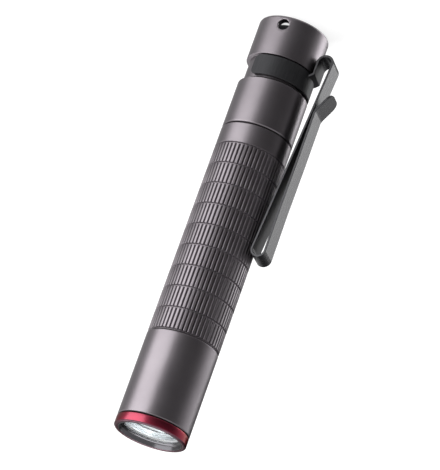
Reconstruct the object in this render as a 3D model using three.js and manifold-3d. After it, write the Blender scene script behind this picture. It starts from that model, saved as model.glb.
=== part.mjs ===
// A pocket flashlight for one AAA cell: a turned aluminium tube with a fluted grip, a plain
// head with a red front ring, a tail cap with a recessed click switch, and a two-way clip.
// It stands on its tail with the beam along +Z. The clip points to +X and the lanyard hole
// to +Y. Millimetres. The sizes run from the cell outwards, so a larger cell makes a larger
// tube, cap and head around it.
import * as THREE from "three";
import { mergeVertices } from "three/addons/utils/BufferGeometryUtils.js";
import Module from "manifold-3d";

// Fits
const clearance = 0.3; // free gap between two separate pieces
const seam = 0.2; // visible joint line between the outer turned pieces

// Cell, a standard AAA
const cellRadius = 5.2;
const cellLength = 44.5; // over the positive nub
const nubRadius = 1.9;
const nubHeight = 1.0;

// Walls of the turned body
const neckWall = 0.6; // threaded necks of the tube
const capWall = 0.5; // cap and head over the necks
const shroudWall = 1.4; // tail rim round the button
const edgeChamfer = 0.2; // broken edges at the joint lines
const rimFillet = 0.55; // outer edge of the tail rim

// Tail cap, along the axis from the tail rim
const shroudDepth = 4.6; // recess that the button stands in
const webThickness = 1.2;
const capLength = 23.1;
const lanyardHole = 1.1; // radius
const lanyardFromTail = 1.95;

// Clip groove in the cap
const bandFromTail = 8.7;
const bandWidth = 4.1;
const grooveDepth = 0.75;
const grooveWall = 0.75; // cap wall left under the groove
const grooveLeadIn = 0.5; // chamfer on the head side

// Switch stack in the cap
const buttonRadius = 4.2;
const buttonSunk = 0.45; // button face below the tail rim
const bootWall = 0.9;
const bootFlange = 0.8;
const washerThickness = 0.7;
const plungerHead = 4.1; // length of its wide end
const stemRadius = 1.6;
const switchHeight = 3.8;
const switchFloor = 0.6;
const buttonTravel = 1.2;
const boardThickness = 1.0;
const retainerRing = 0.8;
const springLength = 5.1;
const springRadius = 3.1;
const springWire = 0.25; // radius
const springCurls = 4;

// Grip
const smoothLand = 4.3; // plain ring between the cap and the flutes
const gripRings = 9;
const ringGroove = 0.36; // width of the turned groove between rings
const fluteCount = 52;
const fluteDepth = 0.36;
const fluteFlat = 0.5; // flat top of a ridge, across
const headFromCell = 2.67; // cell tip to the head joint

// Head
const frontNeck = 4.4;
const shelfThickness = 2.0; // web in the head that carries the LED board
const shelfHole = 3.0; // radius
const cupWall = 0.6;
const contactRadius = 1.6;
const contactHeight = 1.5;
const coilRadius = 1.5;
const coilHeight = 1.5;
const ledBoardThickness = 1.4;
const ledWidth = 3.4;
const ledBase = 0.6;
const ledDome = 1.3; // radius
const ledGasket = 1.0; // height of the centring ring
const reflectorDepth = 5.75;
const reflectorWall = 0.25;
const lensGasket = 0.3;
const lensThickness = 0.8;
const lipDepth = 1.0; // lens face to the front rim
const lipThickness = 0.2;
const lipOverlap = 0.25; // lip over the edge of the lens
const rimWidth = 0.15; // retainer wall at the front opening
const retainerWall = 0.4;
const retainerLength = 5.75;
const accentLength = 1.77;

// Two-way clip, one bent strip on a C-shaped band
const clipThickness = 0.45;
const clipGap = 0.2; // strip off the body at its root and its foot
const clipWidth = 4.8;
const bandWrap = 120; // degrees to each side of the strip
const bandCorner = 1.0; // rounded corners of the band's ends
const topBendRadius = 1.45; // centre lines of the two bends
const lowBendRadius = 1.3;
const topBendFromTail = 6.1; // centre of the upper bend
const lowBendFromTail = 45.8; // centre of the lower bend
const lipRootFromTail = 16.6;
const lipTipFromTail = 12.05;
const lipFlare = 2.2; // outward run of the lip
const lipCorner = 1.5;
const springGap = 0.12; // between the strip's two arms at the lip
const joggle = 0.7; // length of the step from the band up to the strip

// Facets round a turn
const outerFacets = fluteCount;
const innerFacets = 32;
const smallFacets = 20;

// Radii
const boreRadius = cellRadius + clearance;
const neckRadius = boreRadius + neckWall;
const threadBore = neckRadius + clearance;
const bodyRadius = threadBore + capWall;
const shroudRadius = bodyRadius - shroudWall;
const grooveFloor = bodyRadius - grooveDepth;
const cavityRadius = grooveFloor - grooveWall;
const moduleRadius = cavityRadius - clearance;
const valleyRadius = bodyRadius - fluteDepth;

// Heights, from the tail rim up to the front rim
const zWeb = shroudDepth + webThickness;
const zFlange = zWeb + clearance;
const zWasher = zFlange + bootFlange + clearance;
const zSwitch = zWasher + washerThickness + clearance;
const zBoard = zSwitch + switchHeight + clearance;
const zRing = zBoard + boardThickness + clearance;
const zCavity = zRing + retainerRing + clearance;
const zRearNeck = zCavity + clearance;
const zCell = zRing + springLength + clearance;
const zCellTip = zCell + cellLength;
const zTube = capLength + seam;
const zGrip = zTube + smoothLand;
const zHead = zCellTip + headFromCell;
const zNeckEnd = zHead + frontNeck;
const zShelf = zNeckEnd + clearance;
const zLedBoard = zShelf + shelfThickness + clearance;
const zLed = zLedBoard + ledBoardThickness + clearance;
const zReflector = zLed + ledGasket + clearance;
const zMouth = zReflector + reflectorDepth;
const zLens = zMouth + clearance;
const zLensGasket = zLens + lensThickness + clearance;
const zLip = zLensGasket + lensGasket + clearance;
const zFront = zLip + lipDepth;
const zAccent = zFront - accentLength;
const zHeadFront = zAccent - seam;

const wasm = await Module();
wasm.setup();

function solidOf(geometry) {
  const bare = geometry.index ? geometry.toNonIndexed() : geometry.clone();
  bare.deleteAttribute("normal");
  bare.deleteAttribute("uv");
  const merged = mergeVertices(bare, 1e-5);
  const mesh = new wasm.Mesh({
    numProp: 3,
    vertProperties: merged.attributes.position.array,
    triVerts: new Uint32Array(merged.index.array),
  });
  return new wasm.Manifold(mesh);
}

function geometryOf(solid) {
  const mesh = solid.getMesh();
  const geometry = new THREE.BufferGeometry();
  geometry.setAttribute("position", new THREE.BufferAttribute(mesh.vertProperties, 3));
  geometry.setIndex(new THREE.BufferAttribute(mesh.triVerts, 1));
  geometry.computeVertexNormals();
  return geometry;
}

// Revolves a profile of [radius, height] pairs round Z. A profile that starts and ends on
// the axis makes a solid, any other closes on itself and makes a ring.
function turned(profile, facets) {
  const points = profile.map(([r, z]) => new THREE.Vector2(r, z));
  if (THREE.ShapeUtils.area(points) < 0) points.reverse();
  if (profile[0][0] > 0) points.push(points[0].clone());
  return new THREE.LatheGeometry(points, facets).rotateX(Math.PI / 2);
}

function ring(inner, outer, low, high, facets) {
  return turned([[inner, low], [outer, low], [outer, high], [inner, high]], facets);
}

function disc(radius, low, high, facets) {
  return turned([[0, low], [radius, low], [radius, high], [0, high]], facets);
}

// Points of a quarter round in a profile, from one angle to another in degrees.
function fillet(r, z, radius, from, to, steps) {
  return Array.from({ length: steps + 1 }, (_, i) => {
    const a = THREE.MathUtils.degToRad(from + ((to - from) * i) / steps);
    return [r + radius * Math.cos(a), z + radius * Math.sin(a)];
  });
}

function extruded(shape, depth) {
  return new THREE.ExtrudeGeometry(shape, { depth, bevelEnabled: false, curveSegments: 6 });
}

// The tail cap: a shroud round the button, a web, the clip groove and the thread bore.
function tailCap() {
  const leadIn = bandFromTail + bandWidth + clearance;
  const profile = [
    [shroudRadius, 0],
    ...fillet(bodyRadius - rimFillet, rimFillet, rimFillet, -90, 0, 4),
    [bodyRadius, bandFromTail - clearance],
    [grooveFloor, bandFromTail - clearance],
    [grooveFloor, leadIn],
    [bodyRadius, leadIn + grooveLeadIn],
    [bodyRadius, capLength - edgeChamfer],
    [bodyRadius - edgeChamfer, capLength],
    [threadBore, capLength],
    [threadBore, zCavity],
    [cavityRadius, zCavity],
    [cavityRadius, zWeb],
    [buttonRadius + clearance, zWeb],
    [buttonRadius + clearance, shroudDepth],
    [shroudRadius, shroudDepth],
  ];
  const drill = new THREE.CylinderGeometry(lanyardHole, lanyardHole, 2 * shroudWall, 16);
  drill.translate(0, bodyRadius - shroudWall / 2, lanyardFromTail);
  return geometryOf(solidOf(turned(profile, outerFacets)).subtract(solidOf(drill)));
}

// Outline of one fluted ring: V-shaped valleys between flat-topped ridges.
function flutedOutline() {
  const pitch = (2 * Math.PI) / fluteCount;
  const flank = (pitch - fluteFlat / bodyRadius) / 2;
  const shape = new THREE.Shape();
  for (let i = 0; i < fluteCount; i++) {
    const a = i * pitch;
    const corners = [
      [a, valleyRadius],
      [a + flank, bodyRadius],
      [a + pitch - flank, bodyRadius],
    ];
    for (const [angle, r] of corners) {
      const x = r * Math.sin(angle);
      const y = -r * Math.cos(angle);
      if (shape.curves.length || shape.currentPoint.lengthSq()) shape.lineTo(x, y);
      else shape.moveTo(x, y);
    }
  }
  shape.closePath();
  return shape;
}

// The tube: a plain land, nine fluted rings parted by turned grooves, and a threaded neck
// at each end.
function batteryTube() {
  const core = turned(
    [
      [0, zRearNeck],
      [neckRadius, zRearNeck],
      [neckRadius, zTube],
      [bodyRadius - edgeChamfer, zTube],
      [bodyRadius, zTube + edgeChamfer],
      [bodyRadius, zGrip - ringGroove / 2],
      [valleyRadius, zGrip - ringGroove / 2],
      [valleyRadius, zHead],
      [neckRadius, zHead],
      [neckRadius, zNeckEnd],
      [0, zNeckEnd],
    ],
    outerFacets,
  );
  const pitch = (zHead - zGrip) / gripRings;
  const outline = flutedOutline();
  let solid = solidOf(core);
  for (let i = 0; i < gripRings; i++) {
    const low = zGrip + i * pitch + ringGroove / 2;
    const high = i === gripRings - 1 ? zHead : zGrip + (i + 1) * pitch - ringGroove / 2;
    solid = solid.add(solidOf(extruded(outline, high - low).translate(0, 0, low)));
  }
  const bore = disc(boreRadius, zRearNeck - clearance, zNeckEnd + clearance, innerFacets);
  return geometryOf(solid.subtract(solidOf(bore)));
}

function headShell() {
  return turned(
    [
      [threadBore, zHead + seam],
      [bodyRadius - edgeChamfer, zHead + seam],
      [bodyRadius, zHead + seam + edgeChamfer],
      [bodyRadius, zHeadFront - edgeChamfer],
      [bodyRadius - edgeChamfer, zHeadFront],
      [threadBore, zHeadFront],
      [threadBore, zShelf + shelfThickness],
      [shelfHole, zShelf + shelfThickness],
      [shelfHole, zShelf],
      [threadBore, zShelf],
    ],
    outerFacets,
  );
}

function accentRing() {
  return turned(
    [
      [threadBore, zAccent],
      [bodyRadius - edgeChamfer, zAccent],
      [bodyRadius, zAccent + edgeChamfer],
      [bodyRadius, zFront - edgeChamfer],
      [bodyRadius - edgeChamfer, zFront],
      [threadBore, zFront],
    ],
    outerFacets,
  );
}

// Radii inside the head, from the thread inwards
const retainerRadius = threadBore - clearance;
const lensPocket = retainerRadius - retainerWall;
const lensRadius = lensPocket - clearance;
const mouthRadius = lensRadius - reflectorWall;

function lensRetainer() {
  return turned(
    [
      [lensPocket, zFront - retainerLength],
      [retainerRadius, zFront - retainerLength],
      [retainerRadius, zFront],
      [retainerRadius - rimWidth, zFront],
      [lensPocket, zLip + lipThickness],
      [lensRadius - lipOverlap, zLip + lipThickness],
      [lensRadius - lipOverlap, zLip],
      [lensPocket, zLip],
    ],
    outerFacets,
  );
}

// A parabolic cup with a hole for the LED at its foot.
function reflector() {
  const foot = ledDome + clearance;
  const steps = 6;
  const bowl = Array.from({ length: steps + 1 }, (_, i) => {
    const r = foot + ((mouthRadius - foot) * i) / steps;
    const share = (r * r - foot * foot) / (mouthRadius * mouthRadius - foot * foot);
    return [r, zReflector + reflectorDepth * share];
  });
  const outside = bowl.map(([r, z]) => [r + reflectorWall, z]).reverse();
  return turned([...bowl, ...outside], innerFacets);
}

function ledEmitter() {
  const base = new THREE.BoxGeometry(ledWidth, ledWidth, ledBase);
  base.translate(0, 0, zLed + ledBase / 2);
  const low = zLed + ledBase / 2;
  const dome = turned(
    [[0, low], [ledDome, low], ...fillet(0, zLed + ledBase, ledDome, 0, 90, 5)],
    smallFacets,
  );
  return geometryOf(solidOf(base).add(solidOf(dome)));
}

// A brass cup in the front of the tube that holds the driver board.
const cupRadius = boreRadius - clearance;
const cupBore = cupRadius - cupWall;
const zContact = zCellTip + clearance;
const zDriver = zContact + contactHeight + clearance;

function driverCup() {
  return turned(
    [
      [0, zNeckEnd - cupWall],
      [cupBore, zNeckEnd - cupWall],
      [cupBore, zDriver],
      [cupRadius, zDriver],
      [cupRadius, zNeckEnd],
      [0, zNeckEnd],
    ],
    innerFacets,
  );
}

function batteryCell() {
  const top = zCellTip - nubHeight;
  const edge = 2 * clearance;
  return turned(
    [
      [0, zCell],
      [cellRadius - edge, zCell],
      [cellRadius, zCell + edge],
      [cellRadius, top - edge],
      [cellRadius - edge, top],
      [nubRadius, top],
      [nubRadius, zCellTip],
      [0, zCellTip],
    ],
    innerFacets,
  );
}

// The rubber boot: a flat-faced button with a flange that the switch clamps on the web.
function switchBoot() {
  const round = bootWall / 2;
  const inside = buttonRadius - bootWall;
  return turned(
    [
      [0, buttonSunk],
      ...fillet(buttonRadius - round, buttonSunk + round, round, -90, 0, 3),
      [buttonRadius, zFlange],
      [moduleRadius, zFlange],
      [moduleRadius, zFlange + bootFlange],
      [inside, zFlange + bootFlange],
      [inside, buttonSunk + bootWall],
      [0, buttonSunk + bootWall],
    ],
    innerFacets,
  );
}

const zPlunger = buttonSunk + bootWall + clearance;
const plungerRadius = buttonRadius - bootWall - clearance;
const zStemEnd = zSwitch + switchHeight - switchFloor - buttonTravel - clearance;

function switchPlunger() {
  return turned(
    [
      [0, zPlunger],
      [plungerRadius, zPlunger],
      [plungerRadius, zPlunger + plungerHead],
      [stemRadius, zPlunger + plungerHead],
      [stemRadius, zStemEnd],
      [0, zStemEnd],
    ],
    smallFacets,
  );
}

function switchHousing() {
  const well = stemRadius + clearance;
  const top = zSwitch + switchHeight;
  return turned(
    [
      [0, top],
      [moduleRadius, top],
      [moduleRadius, zSwitch],
      [well, zSwitch],
      [well, top - switchFloor],
      [0, top - switchFloor],
    ],
    innerFacets,
  );
}

// The spring that presses the cell forward: one wire, with a short upright end at each face.
function tailSpring() {
  const straight = 2 * springWire;
  const low = zRing + straight;
  const high = zCell - clearance - straight;
  const steps = Math.round(springCurls * 8);
  const points = [new THREE.Vector3(springRadius, 0, zRing)];
  for (let i = 0; i <= steps; i++) {
    const a = (2 * Math.PI * springCurls * i) / steps;
    const z = low + ((high - low) * i) / steps;
    points.push(new THREE.Vector3(springRadius * Math.cos(a), springRadius * Math.sin(a), z));
  }
  const last = points[points.length - 1];
  points.push(new THREE.Vector3(last.x, last.y, zCell - clearance));
  let gap = Infinity;
  for (let i = 0; i < points.length; i++) {
    for (let j = i + 5; j < points.length; j++) {
      gap = Math.min(gap, points[i].distanceTo(points[j]) - 2 * springWire);
    }
  }
  console.log("tail_spring least gap to itself, mm:", gap.toFixed(2));
  const section = new THREE.Shape();
  for (let i = 0; i < 5; i++) {
    const a = (2 * Math.PI * i) / 5;
    const x = springWire * Math.cos(a);
    const y = springWire * Math.sin(a);
    if (i) section.lineTo(x, y);
    else section.moveTo(x, y);
  }
  section.closePath();
  const path = new THREE.CatmullRomCurve3(points);
  return new THREE.ExtrudeGeometry(section, { extrudePath: path, steps: points.length - 1 });
}

// Outline of a strip of even thickness along a line of points.
function stripOutline(points, thickness) {
  const left = [];
  const right = [];
  for (let i = 0; i < points.length; i++) {
    const before = points[Math.max(i - 1, 0)];
    const after = points[Math.min(i + 1, points.length - 1)];
    const along = after.clone().sub(before).normalize();
    const across = new THREE.Vector2(-along.y, along.x).multiplyScalar(thickness / 2);
    left.push(points[i].clone().add(across));
    right.push(points[i].clone().sub(across));
  }
  return new THREE.Shape([...left, ...right.reverse()]);
}

// Stands an outline drawn in [radius, height] upright over the X axis, centred on it.
function uprightStrip(points) {
  const strip = extruded(stripOutline(points, clipThickness), clipWidth);
  return strip.rotateX(Math.PI / 2).translate(0, clipWidth / 2, 0);
}

// A curve's points without repeats, where two of its pieces meet.
function pathPoints(path, divisions) {
  const points = path.getPoints(divisions);
  return points.filter((p, i) => i === 0 || p.distanceTo(points[i - 1]) > 1e-4);
}

// The spandrel that is cut off a square corner to round it, standing across the radius.
function cornerCut(radius) {
  const shape = new THREE.Shape();
  shape.moveTo(radius, -clearance);
  shape.lineTo(-clearance, -clearance);
  shape.lineTo(-clearance, radius);
  shape.lineTo(0, radius);
  shape.absarc(radius, radius, radius, Math.PI, 1.5 * Math.PI, false);
  shape.closePath();
  return shape;
}

// The clip: a C-shaped band in the groove, a strip that rises from it, folds over towards the
// head, folds back at the foot and ends in a flared lip.
function pocketClip() {
  const half = clipThickness / 2;
  const inner = grooveFloor + clearance;
  const outer = inner + clipThickness;
  const wrap = THREE.MathUtils.degToRad(bandWrap);
  const bandShape = new THREE.Shape();
  bandShape.absarc(0, 0, outer, -wrap, wrap, false);
  bandShape.absarc(0, 0, inner, wrap, -wrap, true);
  bandShape.closePath();
  const band = new THREE.ExtrudeGeometry(bandShape, {
    depth: bandWidth,
    bevelEnabled: false,
    curveSegments: 36,
  });
  let clip = solidOf(band.translate(0, 0, bandFromTail));
  for (const side of [-1, 1]) {
    const radial = new THREE.Vector3(Math.cos(wrap), side * Math.sin(wrap), 0);
    const inwards = new THREE.Vector3(Math.sin(wrap), -side * Math.cos(wrap), 0);
    for (const up of [-1, 1]) {
      const rise = new THREE.Vector3(0, 0, up);
      const through = new THREE.Vector3().crossVectors(inwards, rise);
      const start = through.dot(radial) > 0 ? inner - clipThickness : outer + clipThickness;
      const foot = radial.clone().multiplyScalar(start);
      foot.z = up > 0 ? bandFromTail : bandFromTail + bandWidth;
      const place = new THREE.Matrix4().makeBasis(inwards, rise, through).setPosition(foot);
      const cut = extruded(cornerCut(bandCorner), 3 * clipThickness).applyMatrix4(place);
      clip = clip.subtract(solidOf(cut));
    }
  }

  const bandLine = inner + half;
  const rootLine = bodyRadius + clipGap + half;
  const topLine = rootLine + 2 * topBendRadius;
  const step = bandFromTail;
  const armAt = (z) => {
    const share = (z - topBendFromTail) / (lowBendFromTail - topBendFromTail);
    return topLine + (rootLine - topLine) * share;
  };
  const lipRoot = armAt(lipRootFromTail) + clipThickness + springGap;
  const strip = new THREE.Path();
  strip.moveTo(bandLine, step + joggle + clipThickness);
  strip.lineTo(bandLine, step + joggle);
  strip.lineTo(rootLine, step);
  strip.lineTo(rootLine, topBendFromTail);
  const topCentre = rootLine + topBendRadius;
  const lowCentre = rootLine + lowBendRadius;
  strip.absarc(topCentre, topBendFromTail, topBendRadius, Math.PI, 2 * Math.PI, false);
  strip.lineTo(rootLine, lowBendFromTail);
  strip.absarc(lowCentre, lowBendFromTail, lowBendRadius, Math.PI, 0, true);
  strip.lineTo(lipRoot, lipRootFromTail);
  clip = clip.add(solidOf(uprightStrip(pathPoints(strip, 8))));

  const lip = new THREE.Path();
  lip.moveTo(lipRoot, lipRootFromTail + clipThickness);
  lip.lineTo(lipRoot, lipRootFromTail);
  lip.quadraticCurveTo(
    lipRoot,
    lipRootFromTail - clipThickness,
    lipRoot + clipThickness,
    lipRootFromTail - 3 * clipThickness,
  );
  lip.lineTo(lipRoot + lipFlare, lipTipFromTail);
  const face = new THREE.Shape();
  const edge = clipWidth / 2;
  const top = lipRootFromTail + 2 * clipThickness;
  face.moveTo(-edge, top);
  face.lineTo(edge, top);
  face.lineTo(edge, lipTipFromTail + lipCorner);
  face.absarc(edge - lipCorner, lipTipFromTail + lipCorner, lipCorner, 0, -Math.PI / 2, true);
  face.lineTo(-edge + lipCorner, lipTipFromTail);
  face.absarc(
    -edge + lipCorner,
    lipTipFromTail + lipCorner,
    lipCorner,
    -Math.PI / 2,
    -Math.PI,
    true,
  );
  face.closePath();
  const mask = extruded(face, 2 * topLine).rotateX(Math.PI / 2).rotateZ(Math.PI / 2);
  const rounded = solidOf(uprightStrip(pathPoints(lip, 6))).intersect(solidOf(mask));
  return geometryOf(clip.add(rounded));
}

function material(color, roughness, metalness) {
  return new THREE.MeshStandardMaterial({ color, roughness, metalness });
}

const darkSteel = material(0x4c4b4e, 0.25, 0.95);
const gunmetal = material(0x6f6a70, 0.38, 0.9);
const redAnodised = material(0xb02038, 0.35, 0.85);
const blackSteel = material(0x3a3a3c, 0.42, 0.8);
const glass = material(0xdfe8ec, 0.05, 0.0);
const mirror = material(0xd8d8dc, 0.06, 1.0);
const brass = material(0xb08d4a, 0.35, 1.0);
const plating = material(0xb9bcc0, 0.25, 1.0);
const boardGreen = material(0x2c4a38, 0.6, 0.0);
const boardWhite = material(0xe6e6e2, 0.55, 0.0);
const phosphor = material(0xe8d34a, 0.4, 0.0);
const blackRubber = material(0x26262a, 0.8, 0.0);
const blackPlastic = material(0x1f1f22, 0.5, 0.0);
const whitePlastic = material(0xf0efe9, 0.5, 0.0);
const cellWrap = material(0x8f9498, 0.4, 0.2);

const flashlight = new THREE.Group();

function add(name, geometry, look) {
  const mesh = new THREE.Mesh(geometry, look);
  mesh.name = name;
  flashlight.add(mesh);
}

add("battery_tube", batteryTube(), gunmetal);
add("head_shell", headShell(), gunmetal);
add("accent_ring", accentRing(), redAnodised);
add("lens_retainer", lensRetainer(), darkSteel);
add("lens", disc(lensRadius, zLens, zLens + lensThickness, outerFacets), glass);
const gasketTop = zLensGasket + lensGasket;
add("lens_gasket", ring(mouthRadius, lensRadius, zLensGasket, gasketTop, innerFacets), blackRubber);
add("reflector", reflector(), mirror);
const ledTop = zLedBoard + ledBoardThickness;
add("led_board", disc(retainerRadius, zLedBoard, ledTop, innerFacets), boardWhite);
add("led_emitter", ledEmitter(), phosphor);
const gasketInner = (ledWidth * Math.SQRT2) / 2 + clearance;
const gasketOuter = gasketInner + reflectorWall * 4;
add("led_gasket", ring(gasketInner, gasketOuter, zLed, zLed + ledGasket, smallFacets), whitePlastic);
add("driver_cup", driverCup(), brass);
const driverTop = zDriver + boardThickness;
add("driver_board", disc(cupBore - clearance, zDriver, driverTop, smallFacets), boardGreen);
const coilLow = driverTop + clearance;
add("driver_coil", disc(coilRadius, coilLow, coilLow + coilHeight, 12), blackPlastic);
add("positive_contact", disc(contactRadius, zContact, zContact + contactHeight, 16), brass);
add("battery_cell", batteryCell(), cellWrap);
const ringInner = springRadius + springWire + clearance;
const washerBore = plungerRadius + clearance;
const washerTop = zWasher + washerThickness;
add("boot_washer", ring(washerBore, moduleRadius, zWasher, washerTop, innerFacets), whitePlastic);
add("tail_cap", tailCap(), gunmetal);
add("switch_boot", switchBoot(), blackRubber);
add("switch_plunger", switchPlunger(), blackPlastic);
add("switch_housing", switchHousing(), blackPlastic);
const boardTop = zBoard + boardThickness;
add("switch_board", disc(moduleRadius, zBoard, boardTop, innerFacets), boardGreen);
add("tail_spring", tailSpring(), plating);
const ringTop = zRing + retainerRing;
add("switch_retainer", ring(ringInner, moduleRadius, zRing, ringTop, innerFacets), brass);
add("pocket_clip", pocketClip(), blackSteel);

// The origin lies on the tail plane under the middle of the whole outline, clip included.
const outline = new THREE.Box3().setFromObject(flashlight);
const part = new THREE.Group();
flashlight.position.x = -(outline.min.x + outline.max.x) / 2;
part.add(flashlight);

export default part;
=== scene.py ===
# A slim pocket flashlight standing on its tail, seen from beside its head.
# Sizes in the profiles are millimetres, and the scene is in metres.
import bpy
import math
from mathutils import Matrix, Vector


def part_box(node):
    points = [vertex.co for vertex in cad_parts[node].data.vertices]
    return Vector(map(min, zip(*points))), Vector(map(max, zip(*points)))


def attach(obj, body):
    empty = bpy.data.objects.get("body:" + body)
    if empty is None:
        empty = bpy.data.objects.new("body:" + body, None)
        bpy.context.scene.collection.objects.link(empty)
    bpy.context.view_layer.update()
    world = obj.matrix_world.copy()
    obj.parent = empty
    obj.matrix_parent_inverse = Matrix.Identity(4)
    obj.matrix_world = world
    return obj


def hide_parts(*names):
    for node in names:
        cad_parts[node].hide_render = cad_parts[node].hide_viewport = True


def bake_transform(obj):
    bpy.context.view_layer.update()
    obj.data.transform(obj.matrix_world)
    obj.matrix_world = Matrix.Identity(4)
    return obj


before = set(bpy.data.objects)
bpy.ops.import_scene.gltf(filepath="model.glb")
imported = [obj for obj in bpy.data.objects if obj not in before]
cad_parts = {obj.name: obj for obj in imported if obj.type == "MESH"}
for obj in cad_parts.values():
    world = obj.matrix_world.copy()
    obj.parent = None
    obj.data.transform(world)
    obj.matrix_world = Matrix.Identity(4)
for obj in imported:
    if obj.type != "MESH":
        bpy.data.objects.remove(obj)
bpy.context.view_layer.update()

MM = 0.001
WELD = 2e-6  # metres: points closer than this become one
SAME = 1e-6  # metres: two heights or widths this close are equal
NEAR = 1e-5  # metres: a point this close lies on the line that is asked for
tail_low, tail_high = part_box("tail_cap")
AXIS = (tail_low[0] + tail_high[0]) / 2  # X of the line that the whole body is turned on

# Sizes that several pieces share
BODY_R = 6.9  # outside of the cap, the plain land, the head and the red ring
EDGE = 0.18  # chamfer where the cap, the tube and the head meet
SOCKET_R = 6.4  # bores of the cap and the head, round the necks of the tube
NECK_R = 6.1
FACETS = 144  # sides of the plain turned pieces
SMOOTH_ANGLE = math.radians(38)  # edges below this angle are shaded smooth


# Modelling

def deselect():
    if bpy.context.mode != "OBJECT":
        bpy.ops.object.mode_set(mode="OBJECT")
    bpy.ops.object.select_all(action="DESELECT")


def make_active(piece):
    deselect()
    bpy.context.view_layer.objects.active = piece
    piece.select_set(True)


def arc(r, z, radius, start, end, steps):
    """Points of a round in a profile, between two angles in degrees."""
    points = []
    for i in range(steps + 1):
        a = math.radians(start + (end - start) * i / steps)
        points.append((r + radius * math.cos(a), z + radius * math.sin(a)))
    return points


def turned(name, profile, facets, ring=True):
    """Draws a circle up and along a profile of (radius, height), as on a lathe."""
    deselect()
    r, z = profile[0]
    bpy.ops.mesh.primitive_circle_add(vertices=facets, radius=r * MM, location=(AXIS, 0, z * MM))
    piece = bpy.context.object
    piece.name = name
    bpy.ops.object.transform_apply(location=True, rotation=True, scale=True)
    bpy.context.tool_settings.mesh_select_mode = (True, False, False)
    bpy.ops.object.mode_set(mode="EDIT")
    bpy.ops.mesh.select_all(action="SELECT")
    path = profile + [profile[0]] if ring else profile
    for (r0, z0), (r1, z1) in zip(path, path[1:]):
        bpy.ops.mesh.extrude_edges_move(TRANSFORM_OT_translate={"value": (0, 0, (z1 - z0) * MM)})
        if r1 != r0:
            grow = r1 / r0
            bpy.ops.transform.resize(value=(grow, grow, 1), center_override=(AXIS, 0, z1 * MM))
    bpy.ops.mesh.select_all(action="SELECT")
    bpy.ops.mesh.remove_doubles(threshold=WELD)
    if not ring:
        bpy.ops.mesh.select_all(action="DESELECT")
        bpy.ops.mesh.select_non_manifold()
        bpy.ops.mesh.edge_face_add()
    bpy.ops.mesh.select_all(action="SELECT")
    bpy.ops.mesh.normals_make_consistent(inside=False)
    bpy.ops.object.mode_set(mode="OBJECT")
    return piece


def apply_modifier(piece, kind, **settings):
    make_active(piece)
    modifier = piece.modifiers.new(kind.title(), kind)
    for key, value in settings.items():
        setattr(modifier, key, value)
    bpy.ops.object.modifier_apply(modifier=modifier.name)


def shade(piece):
    """Shades a piece smooth, with its wide faces kept true beside the small bevels."""
    make_active(piece)
    bpy.ops.object.shade_smooth_by_angle(angle=SMOOTH_ANGLE)
    apply_modifier(piece, "WEIGHTED_NORMAL", mode="FACE_AREA", weight=50, keep_sharp=True)


def soften(piece, width, segments=2, angle=28):
    """Breaks the sharp edges and shades the rest smooth."""
    apply_modifier(piece, "BEVEL", width=width * MM, segments=segments, limit_method="ANGLE",
                   angle_limit=math.radians(angle), use_clamp_overlap=True)
    shade(piece)


def select_where(piece, parts, test):
    """Selects the faces or edges of a piece that pass a test, then opens edit mode on them."""
    make_active(piece)
    mesh = piece.data
    mode = {"FACE": (False, False, True), "EDGE": (False, True, False)}[parts]
    bpy.context.tool_settings.mesh_select_mode = mode
    for group in (mesh.vertices, mesh.edges, mesh.polygons):
        group.foreach_set("select", [False] * len(group))
    if parts == "FACE":
        for face in mesh.polygons:
            face.select = test(face.center, face.normal)
    else:
        for edge in mesh.edges:
            ends = [mesh.vertices[i].co for i in edge.vertices]
            edge.select = test(ends[0], ends[1])
    bpy.ops.object.mode_set(mode="EDIT")


def round_edges(piece, test, width, segments):
    """Rounds the edges of a piece that pass a test."""
    select_where(piece, "EDGE", test)
    bpy.ops.mesh.bevel(offset=width * MM, segments=segments, affect="EDGES")
    bpy.ops.object.mode_set(mode="OBJECT")


def from_axis(point):
    return math.hypot(point.x - AXIS, point.y)


# Materials

def srgb(hex_colour):
    value = [int(hex_colour[i:i + 2], 16) / 255 for i in (1, 3, 5)]
    return [c / 12.92 if c <= 0.04045 else ((c + 0.055) / 1.055) ** 2.4 for c in value] + [1.0]


def add(tree, kind, settings=None, links=None):
    """Adds a node, sets its properties and free sockets, and links the others."""
    node = tree.nodes.new(kind)
    for key, value in (settings or {}).items():
        if isinstance(key, str) and hasattr(node, key):
            setattr(node, key, value)
        else:
            node.inputs[key].default_value = value
    for key, source in (links or {}).items():
        tree.links.new(source, node.inputs[key])
    return node


def new_material(name):
    material = bpy.data.materials.new(name)
    material.use_nodes = True
    material.node_tree.nodes.clear()
    return material, material.node_tree


def two_tone(tree, value, dark, light, high=0.7):
    """A colour between two tones, over the middle of a noise."""
    tone = add(tree, "ShaderNodeValToRGB", None, {"Fac": value})
    for i, (position, colour) in enumerate([(0.3, dark), (high, light)]):
        tone.color_ramp.elements[i].position = position
        tone.color_ramp.elements[i].color = srgb(colour)
    return tone.outputs["Color"]


def uneven(tree, value, low, high):
    """A roughness between two values, over the middle of a noise."""
    spread = add(tree, "ShaderNodeMapRange",
                 {"From Min": 0.3, "From Max": 0.7, "To Min": low, "To Max": high}, {"Value": value})
    return spread.outputs["Result"]


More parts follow.
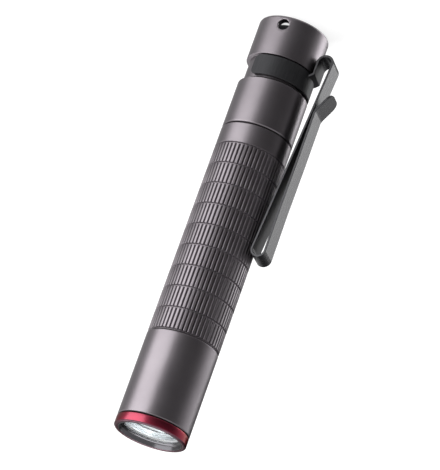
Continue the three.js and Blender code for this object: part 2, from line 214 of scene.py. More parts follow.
def anodised_aluminium(name, dark, light, roughness, edge="#ffffff", seal=0.0):
    """Bead-blasted, dyed and sealed aluminium: a metal with a fine even grain, a soft wide
    highlight, and a dye that varies a little from place to place."""
    material, tree = new_material(name)
    where = add(tree, "ShaderNodeTexCoord").outputs["Object"]
    # Blasting leaves pits of about 0.1 mm. Drawn at 0.16 mm so that they show.
    grain = add(tree, "ShaderNodeTexNoise", {"Scale": 6000.0, "Detail": 2.0, "Roughness": 0.6},
                {"Vector": where})
    cloud = add(tree, "ShaderNodeTexNoise", {"Scale": 160.0, "Detail": 3.0}, {"Vector": where})
    pits = add(tree, "ShaderNodeBump", {"Strength": 0.12, "Distance": 0.00003},
               {"Height": grain.outputs["Fac"]})
    shader = add(tree, "ShaderNodeBsdfPrincipled",
                 {"Metallic": 1.0, "Specular Tint": srgb(edge), "Coat Weight": seal,
                  "Coat Roughness": 0.2, "Coat IOR": 1.6},
                 {"Base Color": two_tone(tree, cloud.outputs["Fac"], dark, light),
                  "Roughness": uneven(tree, grain.outputs["Fac"], roughness - 0.03, roughness + 0.04),
                  "Normal": pits.outputs["Normal"]})
    add(tree, "ShaderNodeOutputMaterial", None, {"Surface": shader.outputs["BSDF"]})
    return material


def coated_steel(name, dark, light, roughness):
    """Spring steel under a thin black coat: dark, with a plain sheen that follows its bends."""
    material, tree = new_material(name)
    where = add(tree, "ShaderNodeTexCoord").outputs["Object"]
    # Rolling marks run along the strip, about 0.2 mm apart.
    along = add(tree, "ShaderNodeMapping", {"Scale": (1.0, 1.0, 0.08)}, {"Vector": where})
    marks = add(tree, "ShaderNodeTexNoise", {"Scale": 5000.0, "Detail": 3.0},
                {"Vector": along.outputs["Vector"]})
    ridges = add(tree, "ShaderNodeBump", {"Strength": 0.01, "Distance": 0.00002},
                 {"Height": marks.outputs["Fac"]})
    shader = add(tree, "ShaderNodeBsdfPrincipled", {"Metallic": 0.75},
                 {"Base Color": two_tone(tree, marks.outputs["Fac"], dark, light, 0.75),
                  "Roughness": uneven(tree, marks.outputs["Fac"], roughness - 0.01, roughness + 0.02),
                  "Normal": ridges.outputs["Normal"]})
    add(tree, "ShaderNodeOutputMaterial", None, {"Surface": shader.outputs["BSDF"]})
    return material


def turned_metal(name, colour, roughness, pitch):
    """Bare turned metal: bright, with the fine rings that the tool leaves round the axis."""
    material, tree = new_material(name)
    where = add(tree, "ShaderNodeTexCoord").outputs["Object"]
    # A wave of scale 1 repeats every 0.314 units.
    rings = add(tree, "ShaderNodeTexWave",
                {"wave_type": "BANDS", "bands_direction": "Z", "Scale": 0.314 / (pitch * MM),
                 "Distortion": 0.6, "Detail": 1.0}, {"Vector": where})
    gloss = add(tree, "ShaderNodeMapRange",
                {"To Min": roughness - 0.04, "To Max": roughness + 0.05},
                {"Value": rings.outputs["Fac"]})
    cut = add(tree, "ShaderNodeBump", {"Strength": 0.15, "Distance": 0.00002},
              {"Height": rings.outputs["Fac"]})
    shader = add(tree, "ShaderNodeBsdfPrincipled", {"Metallic": 1.0, "Base Color": srgb(colour)},
                 {"Roughness": gloss.outputs["Result"], "Normal": cut.outputs["Normal"]})
    add(tree, "ShaderNodeOutputMaterial", None, {"Surface": shader.outputs["BSDF"]})
    return material


def moulded(name, dark, light, roughness, grit):
    """Moulded plastic, rubber or lacquered board: one colour with a faint mottle and a matt
    grain of the mould."""
    material, tree = new_material(name)
    where = add(tree, "ShaderNodeTexCoord").outputs["Object"]
    grain = add(tree, "ShaderNodeTexNoise", {"Scale": 1 / (grit * MM), "Detail": 2.0},
                {"Vector": where})
    bumps = add(tree, "ShaderNodeBump", {"Strength": 0.2, "Distance": 0.00004},
                {"Height": grain.outputs["Fac"]})
    shader = add(tree, "ShaderNodeBsdfPrincipled", {"Roughness": roughness, "IOR": 1.5},
                 {"Base Color": two_tone(tree, grain.outputs["Fac"], dark, light),
                  "Normal": bumps.outputs["Normal"]})
    add(tree, "ShaderNodeOutputMaterial", None, {"Surface": shader.outputs["BSDF"]})
    return material


def lens_glass(name):
    """Clear mineral glass with an anti-glare coat: it shows what lies behind and a faint shine."""
    material, tree = new_material(name)
    where = add(tree, "ShaderNodeTexCoord").outputs["Object"]
    haze = add(tree, "ShaderNodeTexNoise", {"Scale": 300.0, "Detail": 2.0}, {"Vector": where})
    polish = add(tree, "ShaderNodeMapRange", {"To Min": 0.0, "To Max": 0.03},
                 {"Value": haze.outputs["Fac"]})
    # The shine grows with the fifth power of the slant, as it does on plain glass.
    slant = add(tree, "ShaderNodeLayerWeight", {"Blend": 0.5})
    steep = add(tree, "ShaderNodeMath", {"operation": "POWER", 1: 5.0},
                {0: slant.outputs["Facing"]})
    shine = add(tree, "ShaderNodeMapRange", {"To Min": 0.01, "To Max": 0.4},
                {"Value": steep.outputs[0]})
    clear = add(tree, "ShaderNodeBsdfTransparent", {"Color": srgb("#fbfdfd")})
    mirrored = add(tree, "ShaderNodeBsdfGlossy", {"Color": srgb("#ffffff")},
                   {"Roughness": polish.outputs["Result"]})
    both = add(tree, "ShaderNodeMixShader", None,
               {0: shine.outputs["Result"], 1: clear.outputs["BSDF"], 2: mirrored.outputs["BSDF"]})
    add(tree, "ShaderNodeOutputMaterial", None, {"Surface": both.outputs["Shader"]})
    return material


gunmetal = anodised_aluminium("gunmetal_anodised_aluminium", "#6e696d", "#767175", 0.35)
red_dye = anodised_aluminium("red_anodised_aluminium", "#78142d", "#821834", 0.3, "#9c4460", 0.5)
# The plum-grey on the front face of the red ring is a painted reflection of grazing light.
plum_sheen_paint = anodised_aluminium("painted_plum_sheen", "#4c2a36", "#56303e", 0.3, "#8c6c7a", 0.5)
black_coat = coated_steel("black_coated_spring_steel", "#323234", "#3c3c3e", 0.26)
# This darker, matt copy of the coat is painted shade on the strip's faces inside its folds; the band
# wears it too.
matt_coat_and_fold_shade = coated_steel("matt_black_steel_with_painted_shade", "#29292b", "#323234", 0.5)
mirror = turned_metal("metallised_reflector", "#f6f6f8", 0.3, 0.5)
dark_steel = turned_metal("dark_turned_steel", "#4c4b4e", 0.2, 0.12)
brass = turned_metal("turned_brass", "#b9974f", 0.3, 0.15)
plated = turned_metal("plated_spring_wire", "#bfc1c4", 0.25, 0.2)
glass = lens_glass("mineral_glass")
rubber = moulded("black_silicone_rubber", "#29292c", "#323236", 0.7, 0.25)
clear_silicone = moulded("clear_silicone_rubber", "#bdbec0", "#c9cacc", 0.4, 0.25)
black_abs = moulded("black_abs", "#1c1c1f", "#242427", 0.45, 0.3)
white_nylon = moulded("white_nylon", "#eceae3", "#f3f2ec", 0.5, 0.3)
white_board = moulded("white_solder_mask", "#e2e2de", "#eaeae6", 0.4, 0.5)
green_board = moulded("green_solder_mask", "#27443a", "#2f4f42", 0.4, 0.5)
phosphor = moulded("led_phosphor", "#e6cf45", "#efdc62", 0.35, 0.2)
cell_wrap = moulded("shrink_wrapped_cell", "#8b9095", "#969ba0", 0.35, 0.6)


def paint(piece, material):
    """Makes a material the only one of a piece."""
    piece.data.materials.clear()
    piece.data.materials.append(material)


def paint_where(piece, material, test):
    """Adds a second material, on the faces of a piece that pass a test."""
    piece.data.materials.append(material)
    select_where(piece, "FACE", test)
    piece.active_material_index = 1
    bpy.ops.object.material_slot_assign()
    bpy.ops.object.mode_set(mode="OBJECT")


def dress(piece, body, slot, material, *nodes):
    """Gives a piece its finish, its body and the solid that it stands for."""
    paint(piece, material)
    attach(piece, body)
    if nodes:
        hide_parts(*nodes)


# Tail cap: shroud, web, clip groove with a lead-in, thread bore and the lanyard hole
SHROUD_R, WEB_R, SWITCH_R = 5.5, 4.5, 5.4
WEB_LOW, WEB_HIGH, SWITCH_END, CAP_END = 4.6, 5.8, 14.7, 23.1
CLIP_GROOVE_R, CLIP_GROOVE_LOW, CLIP_GROOVE_HIGH, LEAD_IN = 6.15, 8.4, 13.1, 0.5
RIM_ROUND = 0.55
HOLE_R, HOLE_Z, HOLE_ROUND = 1.1, 1.95, 0.12
ABOVE_HOLE = 3.5  # an edge loop that keeps short the faces that the hole cuts
cap_profile = (
    [(SHROUD_R, EDGE), (SHROUD_R + EDGE, 0.0)]
    + arc(BODY_R - RIM_ROUND, RIM_ROUND, RIM_ROUND, -90, 0, 8)
    + [(BODY_R, ABOVE_HOLE), (BODY_R, CLIP_GROOVE_LOW), (CLIP_GROOVE_R, CLIP_GROOVE_LOW),
       (CLIP_GROOVE_R, CLIP_GROOVE_HIGH), (BODY_R, CLIP_GROOVE_HIGH + LEAD_IN),
       (BODY_R, CAP_END - EDGE), (BODY_R - EDGE, CAP_END), (SOCKET_R, CAP_END),
       (SOCKET_R, SWITCH_END), (SWITCH_R, SWITCH_END), (SWITCH_R, WEB_HIGH), (WEB_R, WEB_HIGH),
       (WEB_R, WEB_LOW), (SHROUD_R, WEB_LOW)]
)
tail = turned("tail_cap_body", cap_profile, FACETS)
soften(tail, 0.07)
deselect()
bpy.ops.mesh.primitive_cylinder_add(vertices=48, radius=HOLE_R * MM, depth=4 * MM,
                                    location=(AXIS, 6.5 * MM, HOLE_Z * MM),
                                    rotation=(math.pi / 2, 0, 0))
drill = bpy.context.object
bpy.ops.object.transform_apply(location=True, rotation=True, scale=True)
apply_modifier(tail, "BOOLEAN", operation="DIFFERENCE", object=drill, solver="EXACT")
bpy.data.objects.remove(drill)


def at_hole_mouth(a, b):
    reach = [math.hypot(p.x - AXIS, p.z - HOLE_Z * MM) for p in (a, b)]
    on_edge = all(abs(d - HOLE_R * MM) < 2 * NEAR for d in reach)
    return on_edge and min(a.y, b.y) > (SHROUD_R + BODY_R) / 2 * MM


round_edges(tail, at_hole_mouth, HOLE_ROUND, 3)
shade(tail)
dress(tail, "cap", "gunmetal", gunmetal, "tail_cap")

# Rubber boot: a flat-faced button with a round edge, on a flange behind the web
BOOT_R, BOOT_BORE, FLANGE_R = 4.2, 3.3, 5.1
FLANGE_LOW, FLANGE_HIGH = 6.1, 6.9
FACE_IN, FACE_OUT, FACE_ROUND = 1.35, 0.5, 0.45
boot_profile = (
    [(BOOT_BORE, FACE_IN), (BOOT_BORE, FLANGE_HIGH), (FLANGE_R, FLANGE_HIGH),
     (FLANGE_R, FLANGE_LOW), (BOOT_R, FLANGE_LOW), (BOOT_R, 4.0), (BOOT_R, 2.2)]
    + arc(BOOT_R - FACE_ROUND, FACE_OUT + FACE_ROUND, FACE_ROUND, 0, -90, 6)
    + [(2.9, 0.52), (1.6, 0.56), (0.0, 0.57)]  # the face is dished a little
)
boot = turned("switch_boot_rubber", boot_profile, 96, ring=False)
soften(boot, 0.08)
paint(boot, rubber)
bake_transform(boot)
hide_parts("switch_boot")

# Battery tube: nine fluted rings between a plain land and the head, with a neck at each end
TUBE_LOW, TUBE_HIGH, TUBE_BORE = 15.0, 70.57, 5.5
LAND = 23.3
GRIP, HEAD, RINGS, FLUTES = 27.57, 66.17, 9, 52
VALLEY = 6.545  # radius of the bottom of the flutes
RIDGE, FLANK = 0.36, 0.15  # height of a ridge and width of its sloping side
RIDGE_ROUND = 0.085
GROOVE = 0.1  # floor of the groove between two rings
LAND_EDGE = 0.2
pitch = (HEAD - GRIP) / RINGS
levels = [(VALLEY, GRIP - GROOVE / 2)]
ring_middles = []
for i in range(RINGS):
    bottom = GRIP + i * pitch + GROOVE / 2
    top = GRIP + (i + 1) * pitch - GROOVE / 2
    ring_middles.append((bottom + top) / 2 * MM)
    levels += [(VALLEY, bottom), (VALLEY, top)]
tube_profile = (
    [(NECK_R, LAND), (BODY_R - EDGE, LAND), (BODY_R, LAND + EDGE), (BODY_R, GRIP - LAND_EDGE)]
    + levels
    + [(VALLEY, HEAD), (NECK_R, HEAD), (NECK_R, TUBE_HIGH), (TUBE_BORE, TUBE_HIGH),
       (TUBE_BORE, TUBE_LOW), (NECK_R, TUBE_LOW)]
)
tube = turned("fluted_tube", tube_profile, FLUTES)


def on_ring(centre, normal):
    outside = normal.x * (centre.x - AXIS) + normal.y * centre.y > TUBE_BORE * MM
    return outside and any(abs(centre.z - z) < 0.2 * MM for z in ring_middles)


def at_ridge_edge(a, b):
    """The two long edges on the crest of each ridge."""
    crest = min(from_axis(a), from_axis(b)) > (VALLEY + RIDGE / 2) * MM
    return crest and abs(a.z - b.z) > pitch / 2 * MM and min(a.z, b.z) > GRIP * MM


select_where(tube, "FACE", on_ring)
bpy.ops.mesh.inset(thickness=FLANK * MM, depth=RIDGE * MM, use_individual=True, use_even_offset=True)
bpy.ops.object.mode_set(mode="OBJECT")
round_edges(tube, at_ridge_edge, RIDGE_ROUND, 3)
soften(tube, 0.045, angle=25)
dress(tube, "barrel", "gunmetal", gunmetal, "battery_tube")

# Head: a plain sleeve with a shelf inside
HEAD_LOW, HEAD_HIGH, HEAD_EDGE = 66.37, 82.95, 0.15
SHELF_LOW, SHELF_HIGH, SHELF_BORE = 70.87, 72.87, 3.0
HEAD_LOOP = 74.0  # an edge loop that splits the long outer wall
head_profile = [
    (SOCKET_R, HEAD_LOW), (BODY_R - EDGE, HEAD_LOW), (BODY_R, HEAD_LOW + EDGE), (BODY_R, HEAD_LOOP),
    (BODY_R, HEAD_HIGH - HEAD_EDGE), (BODY_R - HEAD_EDGE, HEAD_HIGH), (SOCKET_R, HEAD_HIGH),
    (SOCKET_R, SHELF_HIGH), (SHELF_BORE, SHELF_HIGH), (SHELF_BORE, SHELF_LOW), (SOCKET_R, SHELF_LOW),
]
head = turned("head_sleeve", head_profile, FACETS)
soften(head, 0.06)
dress(head, "barrel", "gunmetal", gunmetal, "head_shell")

# Red front ring, flat in front with a small chamfer
RED_LOW, RED_HIGH, RED_LIP, RED_LIP_R = 83.15, 84.92, 84.5, 6.13
BACK_CHAMFER, FRONT_CHAMFER = 0.1, 0.2
red_profile = [
    (SOCKET_R, RED_LOW), (BODY_R - BACK_CHAMFER, RED_LOW), (BODY_R, RED_LOW + BACK_CHAMFER),
    (BODY_R, RED_HIGH - FRONT_CHAMFER), (BODY_R - FRONT_CHAMFER, RED_HIGH), (RED_LIP_R, RED_HIGH),
    (RED_LIP_R, RED_LIP), (SOCKET_R, RED_LIP),
]
red = turned("red_front_ring", red_profile, FACETS)
soften(red, 0.05)
dress(red, "barrel", "red_anodised", red_dye, "accent_ring")


def at_ring_front(centre, normal):
    """The front of the ring is painted a dull plum-grey, as a painted reflection of grazing light."""
    return normal.z > 0.3


paint_where(red, plum_sheen_paint, at_ring_front)

# Dark ring that holds the lens: a thin front rim, a smooth wall and a lip over the glass
HOLDER_BORE, HOLDER_LOW, HOLDER_HIGH = 5.7, 79.17, 84.9
HOLDER_LIP_R, HOLDER_LIP = 5.15, 83.92
retainer_profile = [
    (HOLDER_BORE, HOLDER_LOW), (NECK_R, HOLDER_LOW), (NECK_R, HOLDER_HIGH), (5.95, HOLDER_HIGH),
    (5.78, 84.2), (5.4, 84.12), (5.17, 84.0), (HOLDER_LIP_R, HOLDER_LIP),
    (HOLDER_BORE, HOLDER_LIP),
]
retainer = turned("lens_ring", retainer_profile, FACETS)
soften(retainer, 0.05, segments=3)
dress(retainer, "barrel", "dark_steel", dark_steel, "lens_retainer")


def in_lens_pocket(centre, normal):
    """The bore round the lens is bare bright metal."""
    return from_axis(centre) < (HOLDER_BORE + 0.05) * MM and centre.z < (HOLDER_LIP - 0.02) * MM


paint_where(retainer, mirror, in_lens_pocket)

# Lens
LENS_R, LENS_LOW, LENS_HIGH = 5.4, 82.22, 83.02
lens_profile = [(LENS_R, LENS_LOW), (LENS_R, LENS_HIGH), (0.0, LENS_HIGH)]
lens = turned("lens_disc", lens_profile, 96, ring=False)
soften(lens, 0.1)
dress(lens, "barrel", "lens_glass", glass, "lens")

# Reflector: a smooth parabola from the hole for the LED up to the mouth
FOOT, MOUTH, CUP_LOW, CUP_HIGH = 1.6, 5.15, 76.17, 81.92
CUP_WALL, CUP_STEPS = 0.25, 24
bowl = []
for i in range(CUP_STEPS + 1):
    r = FOOT + (MOUTH - FOOT) * i / CUP_STEPS
    bowl.append((r, CUP_LOW + (CUP_HIGH - CUP_LOW) * (r * r - FOOT ** 2) / (MOUTH ** 2 - FOOT ** 2)))
shell = [(r + CUP_WALL, z) for r, z in reversed(bowl)]
cup = turned("reflector_cup", bowl + shell, 128)
soften(cup, 0.03)
dress(cup, "barrel", "reflector_mirror", mirror, "reflector")

# Two-way clip: a band in the cap's groove and a strip that is folded twice
THICK, WIDE = 0.45, 4.8
BAND_IN, BAND_LOW, BAND_HIGH = 6.45, 8.7, 12.8
BAND_MID = BAND_IN + THICK / 2
BAND_WRAP = 120  # degrees to each side of the strip
BAND_END = 11  # degrees of the flat piece at each end
BAND_CORNER = 1.0
wrap = math.radians(BAND_WRAP)
deselect()
bpy.ops.mesh.primitive_plane_add(
    size=1, rotation=(math.pi / 2, 0, wrap),
    location=(BAND_MID * MM * math.cos(wrap) + AXIS, BAND_MID * MM * math.sin(wrap),
              (BAND_LOW + BAND_HIGH) / 2 * MM))
band = bpy.context.object
band.name = "clip_band"
band.scale = (THICK * MM, (BAND_HIGH - BAND_LOW) * MM, 1)
bpy.ops.object.transform_apply(location=True, rotation=True, scale=True)
bpy.ops.object.mode_set(mode="EDIT")
bpy.ops.mesh.select_all(action="SELECT")
for steps, sweep in ((1, BAND_END), (56, 2 * (BAND_WRAP - BAND_END)), (1, BAND_END)):
    bpy.ops.mesh.spin(steps=steps, angle=math.radians(sweep), center=(AXIS, 0, 0), axis=(0, 0, 1))
bpy.ops.mesh.select_all(action="SELECT")
bpy.ops.mesh.remove_doubles(threshold=WELD)
bpy.ops.mesh.normals_make_consistent(inside=False)
bpy.ops.object.mode_set(mode="OBJECT")

CLIP_GAP = 0.2  # between the body and the strip
ROOT = BODY_R + CLIP_GAP + THICK / 2
ROOT_SINK = 0.03  # how far the strip's root lies in the band
TOP_R, LOW_R, TOP_Z, LOW_Z = 1.45, 1.3, 6.1, 45.8  # the two folds
TOP_LINE = ROOT + 2 * TOP_R
LIP_BEND, LIP_END, LIP_REACH, LIP_GAP, LIP_CORNER = 16.6, 12.05, 2.2, 0.12, 1.5
FLAT_AT = 2  # the point of the track where the strip leaves the curve of the band


def inner_arm(z):
    """Radius of the middle of the arm between the two folds."""
    return TOP_LINE + (ROOT - TOP_LINE) * (z - TOP_Z) / (LOW_Z - TOP_Z)


lip_root = inner_arm(LIP_BEND) + THICK + LIP_GAP
track = (
    [(BAND_MID - ROOT_SINK, z) for z in (9.9, 9.6, 9.3)] + [(ROOT, 8.75)]
    + arc(ROOT + TOP_R, TOP_Z, TOP_R, 180, 360, 20)
    + [(TOP_LINE + (ROOT - TOP_LINE) * t, TOP_Z + (LOW_Z - TOP_Z) * t) for t in (0.25, 0.5, 0.75)]
    + arc(ROOT + LOW_R, LOW_Z, LOW_R, 180, 0, 20)
    # The outer arm bows in a little and bends softly into the flared lip.
    + [(ROOT + 2 * LOW_R - 0.04, 36.0), (lip_root - 0.02, 26.0), (lip_root, LIP_BEND),
       (lip_root + 0.09, LIP_BEND - 0.5), (lip_root + 0.3, LIP_BEND - 0.95),
       (lip_root + LIP_REACH, LIP_END)]
)


def heading(a, b):
    return math.atan2(b[0] - a[0], b[1] - a[1])


def short_way(angle):
    return math.atan2(math.sin(angle), math.cos(angle))


def bow(piece, sign):
    """Lays the columns of the selected section on the curve of the band, or flat again."""
    bpy.ops.object.mode_set(mode="OBJECT")
    mesh = piece.data
    section = {v.index for v in mesh.vertices if v.select}
    columns = sorted({round(mesh.vertices[i].co.y, 6) for i in section})
    for y in columns + [None]:
        for group in (mesh.edges, mesh.polygons):
            group.foreach_set("select", [False] * len(group))
        for v in mesh.vertices:
            v.select = v.index in section and (y is None or abs(v.co.y - y) < SAME)
        bpy.ops.object.mode_set(mode="EDIT")
        if y is not None:
            sink = math.sqrt((BAND_MID * MM) ** 2 - y * y) - BAND_MID * MM
            bpy.ops.transform.translate(value=(sign * sink, 0, 0))
            bpy.ops.object.mode_set(mode="OBJECT")


deselect()
bpy.ops.mesh.primitive_grid_add(x_subdivisions=1, y_subdivisions=10, size=1,
                                location=(track[0][0] * MM + AXIS, 0, track[0][1] * MM))
strip = bpy.context.object
strip.name = "clip_strip"
strip.scale = (THICK * MM, WIDE * MM, 1)
bpy.ops.object.transform_apply(location=True, rotation=True, scale=True)
bpy.context.tool_settings.mesh_select_mode = (True, False, False)
bpy.ops.object.mode_set(mode="EDIT")
bpy.ops.mesh.select_all(action="SELECT")
bow(strip, 1)
facing = math.pi  # the strip starts down towards the tail
for i in range(1, len(track)):
    (r0, z0), (r1, z1) = track[i - 1], track[i]
    inward = heading(track[i - 1], track[i])
    outward = heading(track[i], track[i + 1]) if i + 1 < len(track) else inward
    wanted = inward + short_way(outward - inward) / 2
    bpy.ops.mesh.extrude_region_move(
        TRANSFORM_OT_translate={"value": ((r1 - r0) * MM, 0, (z1 - z0) * MM)})
    if i == FLAT_AT:
        bow(strip, -1)
    bpy.ops.transform.rotate(value=-short_way(wanted - facing), orient_axis="Y",
                             center_override=(r1 * MM + AXIS, 0, z1 * MM))
    facing = wanted
bpy.ops.mesh.select_all(action="SELECT")
bpy.ops.mesh.dissolve_limited(angle_limit=math.radians(0.5))
bpy.ops.mesh.select_all(action="SELECT")
bpy.ops.mesh.normals_make_consistent(inside=False)
bpy.ops.object.mode_set(mode="OBJECT")


def at_band_corner(a, b):
    across = abs(a.z - b.z) < SAME
    end = abs(math.degrees(math.atan2((a.y + b.y) / 2, (a.x + b.x) / 2 - AXIS)))
    edge = min(abs(a.z - BAND_LOW * MM), abs(a.z - BAND_HIGH * MM)) < NEAR
    radial = abs(from_axis(a) - from_axis(b)) > THICK / 2 * MM
    return across and edge and radial and end > BAND_WRAP - 1


def at_lip_corner(a, b):
    corner = abs(abs(a.y) - WIDE / 2 * MM) < NEAR and abs(a.y - b.y) < SAME
    return corner and min(a.x, b.x) > (lip_root + 0.7 * LIP_REACH) * MM + AXIS


round_edges(band, at_band_corner, BAND_CORNER, 6)
round_edges(strip, at_lip_corner, LIP_CORNER, 8)
# A cut across both arms at the bend of the lip, where the painted shade on the inner arm begins
bpy.ops.object.mode_set(mode="EDIT")
bpy.ops.mesh.select_all(action="SELECT")
bpy.ops.mesh.bisect(plane_co=(0, 0, LIP_BEND * MM), plane_no=(0, 0, 1))
bpy.ops.object.mode_set(mode="OBJECT")
soften(band, 0.08, segments=3, angle=50)
soften(strip, 0.08, segments=3, angle=50)
dress(band, "clip", "black_steel", matt_coat_and_fold_shade)
dress(strip, "clip", "black_steel", black_coat, "pocket_clip")


def in_painted_fold_shade(centre, normal):
    """The faces inside the folds get the darker matt coat, as painted shade where the outer arm
    shades them.
    """
    r, z = (centre.x - AXIS) / MM, centre.z / MM
    at_root = r < ROOT + THICK and z < BAND_HIGH
    on_inner_arm = LIP_BEND < z < LOW_Z and r < inner_arm(z) + THICK / 2 + 0.1
    return normal.x > 0.5 and (at_root or on_inner_arm)


paint_where(strip, matt_coat_and_fold_shade, in_painted_fold_shade)

# Finishes of the inner pieces, which keep their turned solids
inner_finish = {
    "lens_gasket": clear_silicone, "led_board": white_board, "led_emitter": phosphor,
    "led_gasket": white_nylon, "driver_cup": brass, "driver_board": green_board,
    "driver_coil": black_abs, "positive_contact": brass, "battery_cell": cell_wrap,
    "boot_washer": white_nylon, "switch_plunger": black_abs, "switch_housing": black_abs,
    "switch_board": green_board, "tail_spring": plated, "switch_retainer": brass,
}
for node_name, finish in inner_finish.items():
    paint(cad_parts[node_name], finish)


# Stage

AZIMUTH, ELEVATION, ROLL = math.radians(158.2), math.radians(20.41), math.radians(160.23)
DISTANCE = 0.55827
FRAME_HEIGHT = 470  # pixels
FOCAL, SHIFT_X, SHIFT_Y = 3009.8, -1.94, 0.34  # in the same pixels
SENSOR = 36.0
AIM = Vector((AXIS, 0, 43.67 * MM))
back = Vector((math.sin(AZIMUTH) * math.cos(ELEVATION), -math.cos(AZIMUTH) * math.cos(ELEVATION),
               math.sin(ELEVATION)))
right = Vector((math.cos(AZIMUTH), math.sin(AZIMUTH), 0))
up = back.cross(right)
side = math.cos(ROLL) * right - math.sin(ROLL) * up
rise = math.sin(ROLL) * right + math.cos(ROLL) * up
lens_data = bpy.data.cameras.new("photo_camera")
lens_data.sensor_fit = "VERTICAL"
lens_data.sensor_height = SENSOR
lens_data.lens = FOCAL / FRAME_HEIGHT * SENSOR
lens_data.shift_x = SHIFT_X / FRAME_HEIGHT
lens_data.shift_y = SHIFT_Y / FRAME_HEIGHT
camera = bpy.data.objects.new("photo_camera", lens_data)
camera_turn = Matrix((side, rise, back)).transposed().to_4x4()
camera.matrix_world = Matrix.Translation(AIM + back * DISTANCE) @ camera_turn
bpy.context.collection.objects.link(camera)
bpy.context.scene.camera = camera


def toward(degrees, height, distance):
    """A place round the light, at an angle from the camera to the right of the picture."""
    a = AZIMUTH - math.radians(degrees)
    return Vector((AXIS + math.sin(a) * distance, -math.cos(a) * distance, height))


def softbox(name, degrees, height, distance, wide, tall, power, aim_height):
    light = bpy.data.lights.new(name, "AREA")
    light.shape = "RECTANGLE"
    light.size = wide
    light.size_y = tall
    light.energy = power
    lamp = bpy.data.objects.new(name, light)
    lamp.location = toward(degrees, height, distance)
    aim = Vector((AXIS, 0, aim_height)) - lamp.location
    lamp.rotation_euler = aim.to_track_quat("-Z", "Y").to_euler()
    lamp.visible_camera = False
    bpy.context.collection.objects.link(lamp)


softbox("key_softbox", degrees=-64, height=0.09, distance=0.42, wide=0.55, tall=0.55, power=3.4,
        aim_height=0.03)
softbox("rim_softbox", degrees=112, height=-0.27, distance=0.40, wide=0.22, tall=0.30, power=0.8,
        aim_height=0.0)
softbox("top_softbox", degrees=-165, height=0.6, distance=0.31, wide=0.5, tall=0.5, power=4.2,
        aim_height=0.04)

# White backdrop: what the camera, the metal and the glass see beyond the object
FILL = 0.7  # strength of the same white as a light
world = bpy.data.worlds.new("white_studio")
bpy.context.scene.world = world
world.use_nodes = True
sky = world.node_tree
sky.nodes.clear()
ray = add(sky, "ShaderNodeLightPath")
seen = add(sky, "ShaderNodeMath", {"operation": "MAXIMUM"},
           {0: ray.outputs["Is Camera Ray"], 1: ray.outputs["Is Glossy Ray"]})
seen = add(sky, "ShaderNodeMath", {"operation": "MAXIMUM"},
           {0: seen.outputs[0], 1: ray.outputs["Is Transmission Ray"]})
strength = add(sky, "ShaderNodeMapRange", {"To Min": FILL, "To Max": 1.0}, {"Value": seen.outputs[0]})
backdrop = add(sky, "ShaderNodeBackground", {"Color": srgb("#ffffff")},
               {"Strength": strength.outputs["Result"]})
add(sky, "ShaderNodeOutputWorld", None, {"Surface": backdrop.outputs["Background"]})

# Floor: matt white card. It glows a little to the camera, so that it matches the backdrop and
# still takes the shadow of the light.
CARD_GLOW = 0.75
deselect()
bpy.ops.mesh.primitive_plane_add(size=6.0, location=(0, 0, 0))
floor = bpy.context.object
floor.name = "white_floor"
card, card_tree = new_material("white_card")
card_ray = add(card_tree, "ShaderNodeLightPath")
matt = add(card_tree, "ShaderNodeBsdfDiffuse", {"Color": srgb("#959595")})
glow_level = add(card_tree, "ShaderNodeMath", {"operation": "MULTIPLY", 1: CARD_GLOW},
                 {0: card_ray.outputs["Is Camera Ray"]})
glow = add(card_tree, "ShaderNodeEmission", {"Color": srgb("#ffffff")},
           {"Strength": glow_level.outputs[0]})
lit_card = add(card_tree, "ShaderNodeAddShader", None,
               {0: matt.outputs["BSDF"], 1: glow.outputs["Emission"]})
add(card_tree, "ShaderNodeOutputMaterial", None, {"Surface": lit_card.outputs["Shader"]})
floor.data.materials.append(card)
floor.visible_glossy = False
floor.visible_shadow = False

# Light tent: a soft grey wall, dark beside the camera, that only the shiny surfaces mirror
TENT_R = 0.6
TENT_ROWS = (-0.7, -0.36, -0.13, 0.08, 0.7)  # heights of its seams
BACK_PANEL = (128, 210)  # degrees from the camera, where the top row stays
VELVET = (128, 168)  # the part of the tent that is black above and below its bright row
# Brightness of the cloth at each angle from the camera, to the right of the picture
TENT_TONES = [
    (-180, 0.6), (-125, 0.5), (-100, 0.75), (-75, 1.0), (-34, 0.8), (-16, 0.35), (0, 0.17),
    (14, 0.12), (35, 0.1), (60, 0.12), (75, 0.3), (90, 0.7), (106, 1.0), (120, 1.5), (128, 2.5),
    (136, 2.4), (141, 0.3), (150, 0.2), (180, 0.3),
]
deselect()
bpy.ops.mesh.primitive_circle_add(vertices=96, radius=TENT_R, location=(AXIS, 0, TENT_ROWS[0]))
tent = bpy.context.object
tent.name = "light_tent"
bpy.ops.object.transform_apply(location=True, rotation=True, scale=True)
bpy.ops.object.mode_set(mode="EDIT")
bpy.ops.mesh.select_all(action="SELECT")
for low, high in zip(TENT_ROWS, TENT_ROWS[1:]):
    bpy.ops.mesh.extrude_edges_move(TRANSFORM_OT_translate={"value": (0, 0, high - low)})
bpy.ops.object.mode_set(mode="OBJECT")
cloth, cloth_tree = new_material("tent_cloth")
cloth_where = add(cloth_tree, "ShaderNodeTexCoord").outputs["Object"]
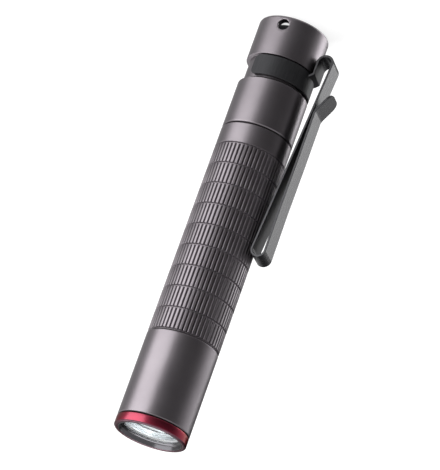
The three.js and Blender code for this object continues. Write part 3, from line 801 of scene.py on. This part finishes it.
# The cloth is turned so that its seam lies behind the object, opposite the camera.
faced = add(cloth_tree, "ShaderNodeVectorRotate",
            {"rotation_type": "Z_AXIS", "Center": (AXIS, 0.0, 0.0), "Angle": -AZIMUTH},
            {"Vector": cloth_where})
axes = add(cloth_tree, "ShaderNodeSeparateXYZ", None, {"Vector": faced.outputs["Vector"]})
beside = add(cloth_tree, "ShaderNodeMath", {"operation": "SUBTRACT", 1: AXIS},
             {0: axes.outputs["X"]})
ahead = add(cloth_tree, "ShaderNodeMath", {"operation": "MULTIPLY", 1: -1.0},
            {0: axes.outputs["Y"]})
around = add(cloth_tree, "ShaderNodeMath", {"operation": "ARCTAN2"},
             {0: beside.outputs[0], 1: ahead.outputs[0]})
position = add(cloth_tree, "ShaderNodeMapRange", {"From Min": math.pi, "From Max": -math.pi},
               {"Value": around.outputs[0]})
tone = add(cloth_tree, "ShaderNodeValToRGB", None, {"Fac": position.outputs["Result"]})
ramp = tone.color_ramp
ramp.elements.remove(ramp.elements[1])
for i, (degrees, grey) in enumerate(TENT_TONES):
    stop = ramp.elements[0] if i == 0 else ramp.elements.new((degrees + 180) / 360)
    stop.color = (grey, grey, grey, 1.0)
lit = add(cloth_tree, "ShaderNodeEmission", {"Strength": 1.0}, {"Color": tone.outputs["Color"]})
add(cloth_tree, "ShaderNodeOutputMaterial", None, {"Surface": lit.outputs["Emission"]})
tent.data.materials.append(cloth)
velvet, velvet_tree = new_material("black_velvet")
nap = add(velvet_tree, "ShaderNodeBsdfDiffuse", {"Color": srgb("#303030")})
add(velvet_tree, "ShaderNodeOutputMaterial", None, {"Surface": nap.outputs["BSDF"]})


def from_camera(place):
    """The angle of a place, as toward() counts it, from 0 to 360 degrees."""
    return math.degrees(AZIMUTH - math.atan2(place.x - AXIS, -place.y)) % 360


def behind_right(centre, normal):
    in_bright_row = TENT_ROWS[1] < centre.z < TENT_ROWS[2]
    return VELVET[0] < from_camera(centre) < VELVET[1] and not in_bright_row


def over_the_rest(centre, normal):
    return centre.z > TENT_ROWS[3] and not BACK_PANEL[0] < from_camera(centre) < BACK_PANEL[1]


paint_where(tent, velvet, behind_right)
select_where(tent, "FACE", over_the_rest)
bpy.ops.mesh.delete(type="FACE")
bpy.ops.object.mode_set(mode="OBJECT")
tent.visible_camera = False
tent.visible_diffuse = False
tent.visible_shadow = False
tent.visible_transmission = False

bpy.context.scene.view_settings.view_transform = "Standard"
